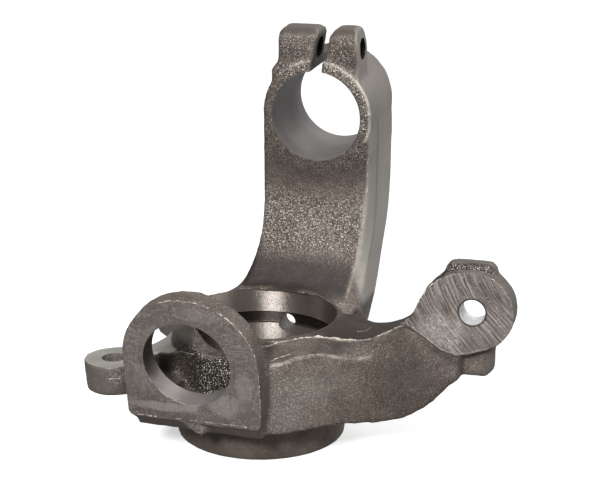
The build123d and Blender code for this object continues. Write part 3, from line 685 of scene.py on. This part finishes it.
class Tree:
    """Shorthand for building a material's nodes."""

    def __init__(self, name):
        self.mat = bpy.data.materials.new(name)
        self.mat.use_nodes = True
        self.t = self.mat.node_tree
        self.bsdf = next(n for n in self.t.nodes if n.type == "BSDF_PRINCIPLED")
        self.co = self.t.nodes.new("ShaderNodeTexCoord").outputs["Object"]

    def put(self, sock, v):
        if isinstance(v, bpy.types.NodeSocket):
            self.t.links.new(v, sock)
        else:
            sock.default_value = v

    def attr(self, name):
        n = self.t.nodes.new("ShaderNodeAttribute")
        n.attribute_name = name
        return n.outputs["Fac"]

    def noise(self, scale, detail=3.0, rough=0.6, vec=None, dist=0.0):
        n = self.t.nodes.new("ShaderNodeTexNoise")
        self.put(n.inputs["Vector"], vec or self.co)
        n.inputs["Scale"].default_value = scale
        n.inputs["Detail"].default_value = detail
        n.inputs["Roughness"].default_value = rough
        n.inputs["Distortion"].default_value = dist
        return n.outputs["Fac"]

    def voronoi(self, scale, vec=None, feature="F1"):
        n = self.t.nodes.new("ShaderNodeTexVoronoi")
        n.feature = feature
        self.put(n.inputs["Vector"], vec or self.co)
        n.inputs["Scale"].default_value = scale
        return n.outputs["Distance"]

    def ramp(self, v, *stops):
        n = self.t.nodes.new("ShaderNodeValToRGB")
        self.put(n.inputs["Fac"], v)
        el = n.color_ramp.elements
        while len(el) < len(stops):
            el.new(0.5)
        for e, (p, c) in zip(el, stops):
            e.position = p
            e.color = c if isinstance(c, tuple) else (c, c, c, 1.0)
        return n.outputs["Color"]

    def math(self, op, a, b=0.0, clamp=False):
        n = self.t.nodes.new("ShaderNodeMath")
        n.operation = op
        n.use_clamp = clamp
        self.put(n.inputs[0], a)
        self.put(n.inputs[1], b)
        return n.outputs[0]

    def mix(self, f, a, b, mode="MIX"):
        n = self.t.nodes.new("ShaderNodeMix")
        n.data_type = "RGBA"
        n.blend_type = mode
        n.clamp_factor = True
        self.put(n.inputs[0], f)
        self.put(n.inputs[6], a)
        self.put(n.inputs[7], b)
        return n.outputs[2]

    def bump(self, h, strength, distance, normal=None):
        n = self.t.nodes.new("ShaderNodeBump")
        self.put(n.inputs["Height"], h)
        self.put(n.inputs["Strength"], strength)
        n.inputs["Distance"].default_value = distance
        if normal is not None:
            self.put(n.inputs["Normal"], normal)
        return n.outputs["Normal"]

    def mapping(self, scale=(1, 1, 1), rot=(0, 0, 0), loc=(0, 0, 0)):
        n = self.t.nodes.new("ShaderNodeMapping")
        self.put(n.inputs["Vector"], self.co)
        n.inputs["Scale"].default_value = scale
        n.inputs["Rotation"].default_value = rot
        n.inputs["Location"].default_value = loc
        return n.outputs["Vector"]

    def spot(self, c, r, soft=0.35, wob=0.35, scale=140, rot=0.0):
        """Mask that is 1 inside a wobbly ellipse; c and r in millimetres."""
        n = self.t.nodes.new("ShaderNodeMapping")
        n.vector_type = "TEXTURE"
        self.put(n.inputs["Vector"], self.co)
        n.inputs["Location"].default_value = [v * MM for v in c]
        n.inputs["Rotation"].default_value = (0, rot, 0)
        n.inputs["Scale"].default_value = [v * MM for v in r]
        ln = self.t.nodes.new("ShaderNodeVectorMath")
        ln.operation = "LENGTH"
        self.put(ln.inputs[0], n.outputs["Vector"])
        w = self.math("MULTIPLY", self.math("SUBTRACT", self.noise(scale, 2.0, 0.5), 0.5), wob * 2)
        d = self.math("ADD", ln.outputs["Value"], w)
        return self.ramp(d, (1.0 - soft, 1.0), (1.0, 0.0))

    def finish(self, color, rough, normal=None, metallic=0.0, spec=0.5):
        b = self.bsdf.inputs
        self.put(b["Base Color"], color)
        self.put(b["Roughness"], rough)
        b["Metallic"].default_value = metallic
        b["Specular IOR Level"].default_value = spec
        if normal is not None:
            self.put(b["Normal"], normal)
        return self.mat


def mat_cast():
    t = Tree("cast_iron_skin")
    spk, smo, tone, edge_wear_and_highlight = t.attr("spk"), t.attr("smo"), t.attr("tone"), t.attr("edge_wear_and_highlight")
    grain = t.noise(1150, 3.0, 0.75)
    grain2 = t.noise(900, 2.0, 0.6)
    blotch = t.noise(130, 3.0, 0.55)
    wide = t.noise(38, 2.0, 0.5)
    base = t.mix(t.ramp(wide, (0.35, 0.0), (0.65, 1.0)), srgb(80, 70, 63), srgb(97, 88, 81))
    base = t.mix(t.ramp(blotch, (0.35, 0.0), (0.7, 0.6)), base, srgb(68, 57, 50))
    # grains catch or lose the light
    light = t.math("MULTIPLY", t.ramp(grain, (0.50, 0.0), (0.66, 0.95)), spk)
    dark = t.math("MULTIPLY", t.ramp(grain2, (0.34, 1.0), (0.49, 0.0)), t.math("MULTIPLY", spk, 0.8))
    col = t.mix(light, base, srgb(185, 175, 166))
    col = t.mix(dark, col, srgb(42, 36, 32))
    # smooth skin is greyer and lighter; on right-facing sides and tops this lighter grey is partly painted light
    grey = t.mix(t.ramp(blotch, (0.3, 0.0), (0.7, 1.0)), srgb(96, 91, 86), srgb(112, 107, 101))
    col = t.mix(t.math("MULTIPLY", smo, 0.85), col, grey)
    # darker and lighter regions: random tone, painted shade and painted light
    col = t.mix(t.math("MULTIPLY", t.math("MAXIMUM", tone, 0.0), 1.0), col, srgb(156, 150, 144))
    col = t.mix(t.math("MULTIPLY", t.math("MAXIMUM", t.math("MULTIPLY", tone, -1.0), 0.0), 1.0), col, srgb(40, 34, 30))
    # pale edges: wear, and painted highlight along the edges
    col = t.mix(edge_wear_and_highlight, col, srgb(206, 198, 186))
    # painted glints: near-white specks
    sparkle_paint = t.math("MULTIPLY", t.ramp(t.noise(1700, 1.0, 0.5), (0.62, 0.0), (0.68, 1.0)), t.attr("painted_glint"))
    col = t.mix(sparkle_paint, col, srgb(250, 244, 228))
    rough = t.mix(smo, t.ramp(grain, (0.4, 0.62), (0.65, 0.42)), (0.46, 0.46, 0.46, 1.0))
    h = t.math("ADD", t.math("MULTIPLY", grain, 0.8), t.math("MULTIPLY", grain2, 0.7))
    amount = t.math("ADD", t.math("MULTIPLY", spk, 0.75), 0.22)
    amount = t.math("MULTIPLY", amount, t.math("SUBTRACT", 1.0, t.math("MULTIPLY", smo, 0.7)))
    nrm = t.bump(h, amount, 0.0006)
    return t.finish(col, rough, nrm, metallic=0.5, spec=0.5)


def mat_face():
    """Milled seat of the ball joint: fine upright lines, scuffs, pale smears."""
    t = Tree("milled_seat")
    lines = t.noise(150, 3.0, 0.6, t.mapping(scale=(5.0, 1.0, 0.7), rot=(0, math.radians(8), 0)))
    fine = t.noise(900, 2.0, 0.6)
    cloud = t.noise(85, 3.0, 0.6)
    vein = t.noise(60, 4.0, 0.65, t.mapping(scale=(1.0, 1.0, 1.6), rot=(0, math.radians(-30), 0)), dist=1.2)
    col = t.mix(t.ramp(cloud, (0.36, 0.0), (0.66, 1.0)), srgb(106, 97, 93), srgb(122, 113, 108))
    for c, r, k in (((-30, -73, 36.2), (20, 9, 3.2), 0.85), ((-14, -73.5, 38.6), (5, 9, 4.0), 0.8), ((6, -74, 41.0), (11, 9, 7.5), 0.55),
                    ((17, -76.5, 54.0), (6, 9, 9.0), 0.45), ((-40, -76, 52.0), (4, 9, 12.0), 0.3), ((-2, -82, 92.0), (16, 9, 4.0), 0.3)):
        col = t.mix(t.math("MULTIPLY", t.spot(c, r), k), col, srgb(160, 152, 147))
    col = t.mix(t.math("MULTIPLY", t.ramp(vein, (0.47, 0.0), (0.5, 1.0), (0.53, 0.0)), 0.45), col, srgb(164, 156, 150))
    col = t.mix(t.math("MULTIPLY", t.ramp(lines, (0.34, 1.0), (0.46, 0.0)), 0.4), col, srgb(88, 80, 78))
    col = t.mix(t.math("MULTIPLY", t.ramp(fine, (0.6, 0.0), (0.7, 1.0)), 0.4), col, srgb(196, 188, 180))
    col = t.mix(t.math("MULTIPLY", t.ramp(fine, (0.3, 1.0), (0.38, 0.0)), 0.4), col, srgb(80, 73, 70))
    rough = t.ramp(cloud, (0.3, 0.52), (0.7, 0.4))
    nrm = t.bump(t.math("ADD", t.math("MULTIPLY", lines, 0.7), t.math("MULTIPLY", fine, 0.4)), 0.4, 0.0004)
    return t.finish(col, rough, nrm, metallic=0.6)


def mat_mill():
    """Coarse sawn face of the steering boss: long arcs of tool marks."""
    t = Tree("coarse_cut_face")
    warp = t.t.nodes.new("ShaderNodeVectorMath")
    warp.operation = "DISTANCE"
    t.put(warp.inputs[0], t.co)
    warp.inputs[1].default_value = (0.1885, -0.004, 0.1335)
    wob = t.math("MULTIPLY", t.noise(75, 2.0, 0.5), 0.0022)
    arc = t.math("ADD", warp.outputs["Value"], wob)
    sep = t.t.nodes.new("ShaderNodeSeparateXYZ")
    t.put(sep.inputs[0], t.co)
    cmb = t.t.nodes.new("ShaderNodeCombineXYZ")
    t.put(cmb.inputs[0], arc)
    t.put(cmb.inputs[1], t.math("MULTIPLY", sep.outputs["Z"], 0.06))
    marks = t.noise(950, 3.0, 0.65, cmb.outputs[0])
    fine = t.noise(900, 2.0, 0.6)
    cloud = t.noise(75, 3.0, 0.55)
    vein = t.noise(150, 3.0, 0.6, dist=1.6)
    col = t.mix(t.ramp(cloud, (0.35, 0.0), (0.65, 1.0)), srgb(110, 102, 98), srgb(128, 120, 115))
    col = t.mix(t.ramp(marks, (0.38, 0.75), (0.48, 0.0)), col, srgb(60, 52, 50))
    col = t.mix(t.ramp(marks, (0.54, 0.0), (0.62, 0.7)), col, srgb(172, 165, 159))
    swirl = t.spot((104.0, -4, 70.0), (16, 9, 11), soft=0.5)
    col = t.mix(t.math("MULTIPLY", swirl, 0.45), col, srgb(160, 151, 146))
    col = t.mix(t.math("MULTIPLY", swirl, t.ramp(vein, (0.46, 0.0), (0.5, 0.9), (0.54, 0.0))), col, srgb(206, 199, 192))
    col = t.mix(t.math("MULTIPLY", t.ramp(fine, (0.6, 0.0), (0.7, 1.0)), 0.35), col, srgb(214, 208, 200))
    ring = t.t.nodes.new("ShaderNodeVectorMath")
    ring.operation = "DISTANCE"
    t.put(ring.inputs[0], t.co)
    ring.inputs[1].default_value = [v * MM for v in ST_C]
    col = t.mix(t.ramp(t.math("MULTIPLY", ring.outputs["Value"], 10.0), (0.0765, 0.85), (0.081, 0.0)), col, srgb(30, 26, 25))
    nrm = t.bump(t.math("ADD", marks, t.math("MULTIPLY", fine, 0.25)), 0.6, 0.0005)
    return t.finish(col, t.ramp(fine, (0.3, 0.5), (0.7, 0.4)), nrm, metallic=0.6)


def mat_bore():
    """Turned bearing seat: bright, rings round the axis."""
    t = Tree("turned_bore")
    sep = t.t.nodes.new("ShaderNodeSeparateXYZ")
    t.put(sep.inputs[0], t.co)
    cmb = t.t.nodes.new("ShaderNodeCombineXYZ")
    t.put(cmb.inputs[2], sep.outputs["Z"])
    t.put(cmb.inputs[0], t.math("MULTIPLY", sep.outputs["X"], 0.08))
    rings = t.noise(2400, 3.0, 0.7, cmb.outputs[0])
    fine = t.noise(700, 2.0, 0.6)
    cloud = t.noise(60, 2.0, 0.5)
    col = t.mix(t.ramp(cloud, (0.35, 0.0), (0.65, 1.0)), srgb(140, 131, 125), srgb(158, 150, 143))
    flat = t.t.nodes.new("ShaderNodeCombineXYZ")
    t.put(flat.inputs[0], sep.outputs["X"])
    t.put(flat.inputs[1], sep.outputs["Y"])
    ln = t.t.nodes.new("ShaderNodeVectorMath")
    ln.operation = "LENGTH"
    t.put(ln.inputs[0], flat.outputs[0])
    z10 = t.math("MULTIPLY", sep.outputs["Z"], 10.0)
    r10 = t.math("MULTIPLY", ln.outputs["Value"], 10.0)
    groove = t.math("MULTIPLY", t.ramp(z10, (0.480, 0.0), (0.481, 1.0), (0.5485, 1.0), (0.5492, 0.0)), t.ramp(r10, (0.4125, 0.0), (0.414, 1.0)))
    # painted highlight on the bore's far wall
    bright = t.math("MULTIPLY", t.spot((-7.0, 42, 52), (9, 8, 34), soft=0.5, wob=0.15), t.ramp(t.noise(950, 2.0, 0.6), (0.42, 0.4), (0.56, 1.0)))
    col = t.mix(t.math("MULTIPLY", bright, 0.34), col, srgb(226, 219, 212))
    col = t.mix(t.math("MULTIPLY", groove, 0.92), col, srgb(38, 32, 30))
    # painted shade on the bore's left wall
    col = t.mix(t.math("MULTIPLY", t.spot((-38, 14, 40), (9, 16, 20), soft=0.6, wob=0.1), 0.8), col, srgb(52, 44, 40))
    nrm = t.bump(t.math("ADD", t.math("MULTIPLY", rings, 0.7), t.math("MULTIPLY", fine, 0.8)), 0.55, 0.0003)
    up = t.t.nodes.new("ShaderNodeCombineXYZ")
    up.inputs[2].default_value = 1.0
    t.put(t.bsdf.inputs["Tangent"], up.outputs[0])
    t.bsdf.inputs["Anisotropic"].default_value = 0.92
    return t.finish(col, t.ramp(fine, (0.3, 0.43), (0.7, 0.34)), nrm, metallic=0.95)


def mat_clamp():
    """Bored clamp and ball-joint hole: plain satin grey."""
    t = Tree("bored_wall")
    fine = t.noise(700, 2.0, 0.6)
    cloud = t.noise(45, 2.0, 0.5)
    col = t.mix(t.ramp(cloud, (0.35, 0.0), (0.65, 1.0)), srgb(122, 117, 117), srgb(141, 136, 133))
    # painted shade on the left inner wall of the ball-joint hole
    col = t.mix(t.math("MULTIPLY", t.spot((-38.5, -72, 66), (11, 16, 20), soft=0.6), 0.8), col, srgb(44, 38, 35))
    col = t.mix(t.math("MULTIPLY", t.spot((-14, 85, 172), (16, 60, 22), soft=0.7), 0.45), col, srgb(74, 69, 72))
    nrm = t.bump(fine, 0.12, 0.0002)
    return t.finish(col, 0.42, nrm, metallic=0.75)


def mat_rim():
    t = Tree("spot_faced")
    fine = t.noise(900, 2.0, 0.6)
    cloud = t.noise(80, 2.0, 0.5)
    col = t.mix(t.ramp(cloud, (0.35, 0.0), (0.65, 1.0)), srgb(148, 145, 138), srgb(168, 164, 156))
    # painted light on the top of the left lug, which lies in the flange's shadow
    col = t.mix(t.math("MULTIPLY", t.spot((-64, -9, 55), (22, 24, 8), soft=0.3), 0.6), col, srgb(206, 201, 194))
    nrm = t.bump(fine, 0.2, 0.0002)
    return t.finish(col, t.ramp(fine, (0.3, 0.48), (0.7, 0.38)), nrm, metallic=0.7)


def mat_hole():
    t = Tree("drilled_hole")
    fine = t.noise(800, 2.0, 0.6)
    col = t.mix(t.ramp(fine, (0.4, 0.0), (0.65, 1.0)), srgb(120, 113, 108), srgb(158, 151, 144))
    nrm = t.bump(fine, 0.3, 0.0003)
    return t.finish(col, 0.42, nrm, metallic=0.75)


def mat_stud():
    """Reamed tie-rod hole, bright."""
    t = Tree("reamed_hole")
    fine = t.noise(300, 2.0, 0.6)
    col = t.mix(t.ramp(fine, (0.4, 0.0), (0.65, 1.0)), srgb(214, 212, 212), srgb(240, 238, 236))
    return t.finish(col, 0.3, None, metallic=0.35, spec=0.8)


def mat_dark():
    """Bolt hole walls, near black."""
    t = Tree("near_black_hole")
    fine = t.noise(500, 2.0, 0.6)
    col = t.mix(t.ramp(fine, (0.4, 0.0), (0.65, 1.0)), srgb(26, 22, 20), srgb(44, 38, 35))
    return t.finish(col, 0.5, None, metallic=0.0, spec=0.3)


def mat_notch():
    """Smooth milled clearance."""
    t = Tree("milled_clearance")
    fine = t.noise(260, 3.0, 0.65)
    col = t.mix(t.ramp(fine, (0.4, 0.0), (0.65, 1.0)), srgb(52, 47, 44), srgb(92, 86, 82))
    nrm = t.bump(fine, 0.15, 0.0003)
    return t.finish(col, 0.45, nrm, metallic=0.6)


for make in (mat_cast, mat_face, mat_mill, mat_bore, mat_clamp, mat_rim, mat_hole, mat_stud, mat_dark, mat_notch):
    me.materials.append(make())
me.polygons.foreach_set("material_index", mi)
soft = np.ones(nf, bool)
soft[f_cast:] = False
me.polygons.foreach_set("use_smooth", soft)
me.set_sharp_from_angle(angle=math.radians(38))
me.update()

casting = work
casting.name = "knuckle_casting_skin"
me.name = "knuckle_casting_skin"
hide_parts("knuckle_casting")
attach(casting, "root")

# ---- floor, light, camera --------------------------------------------------------------------------------
bm = bmesh.new()
vs = [bm.verts.new(p) for p in ((-14, -14, 0), (14, -14, 0), (14, 14, 0), (-14, 14, 0))]
bm.faces.new(vs)
fm = bpy.data.meshes.new("floor")
bm.to_mesh(fm)
bm.free()
floor = mesh_object("floor", fm)
floor.location.z = -0.0002
fmat = bpy.data.materials.new("floor_white")
fmat.use_nodes = True
fb = fmat.node_tree.nodes["Principled BSDF"]
fb.inputs["Base Color"].default_value = (0.6, 0.6, 0.6, 1)
fb.inputs["Roughness"].default_value = 0.9
fb.inputs["Specular IOR Level"].default_value = 0.1
fb.inputs["Emission Color"].default_value = (1, 1, 1, 1)
fb.inputs["Emission Strength"].default_value = 0.485
floor.visible_diffuse = False
floor.visible_glossy = False
fm.materials.append(fmat)

world = bpy.data.worlds.new("studio")
SCENE.world = world
world.use_nodes = True
wt = world.node_tree
bg = wt.nodes["Background"]
tc = wt.nodes.new("ShaderNodeTexCoord")
sp = wt.nodes.new("ShaderNodeSeparateXYZ")
wt.links.new(tc.outputs["Generated"], sp.inputs[0])


def wmath(op, a, b, c=None):
    n = wt.nodes.new("ShaderNodeMath")
    n.operation = op
    for k, v in enumerate((a, b) if c is None else (a, b, c)):
        if isinstance(v, bpy.types.NodeSocket):
            wt.links.new(v, n.inputs[k])
        else:
            n.inputs[k].default_value = v
    return n.outputs[0]


# brighter from above, evenly light from below as over a white table
up_l = wmath("MULTIPLY_ADD", sp.outputs["Z"], 0.34, 0.40)
rt = wmath("MULTIPLY_ADD", sp.outputs["X"], 0.15, 0.0)
lum = wmath("ADD", up_l, rt)
lum = wmath("MAXIMUM", lum, 0.27)
wt.links.new(lum, bg.inputs["Strength"])
bg.inputs["Color"].default_value = (1.0, 1.0, 1.0, 1)


def area(name, loc, target, size, energy, color=(1, 1, 1)):
    l = bpy.data.lights.new(name, "AREA")
    l.shape = "DISK"
    l.size = size
    l.energy = energy
    l.color = color
    o = bpy.data.objects.new(name, l)
    SCENE.collection.objects.link(o)
    o.location = loc
    o.rotation_euler = (Vector(target) - Vector(loc)).to_track_quat("-Z", "Y").to_euler()
    return o


area("key", (0.0, -1.2, 0.80), (0.0, 0, 0.09), 0.26, 28.0)
area("right", (1.5, 0.2, 0.9), (0.03, 0, 0.09), 0.8, 9.0)
sun = bpy.data.lights.new("top", "SUN")
sun.energy = 1.0
sun.angle = math.radians(35)
so = bpy.data.objects.new("top", sun)
SCENE.collection.objects.link(so)
so.rotation_euler = Vector((-0.45, -0.35, -1.0)).to_track_quat("-Z", "Y").to_euler()

a = math.radians(17.4)
t_, r_ = math.radians(15.61), math.radians(0.44)
M3 = Matrix(((math.cos(a), -math.sin(a), 0), (math.sin(a), math.cos(a), 0), (0, 0, 1)))
right = M3 @ (Vector((1, 0, 0)) * math.cos(r_) + Vector((0, math.sin(t_), math.cos(t_))) * math.sin(r_))
upv = M3 @ (-Vector((1, 0, 0)) * math.sin(r_) + Vector((0, math.sin(t_), math.cos(t_))) * math.cos(r_))
fwd = M3 @ Vector((0, math.cos(t_), -math.sin(t_)))
cam = bpy.data.cameras.new("camera")
cam.lens, cam.sensor_width, cam.sensor_fit = 75.0, 36.0, "HORIZONTAL"
cam.clip_start, cam.clip_end = 0.01, 60.0
co = bpy.data.objects.new("camera", cam)
SCENE.collection.objects.link(co)
mw = Matrix.Identity(4)
for k, v in enumerate((right, upv, -fwd)):
    for j in range(3):
        mw[j][k] = v[j]
mw.translation = Vector((0.2208, -0.6329, 0.2930))
co.matrix_world = mw
SCENE.camera = co
SCENE.view_settings.view_transform = "Standard"
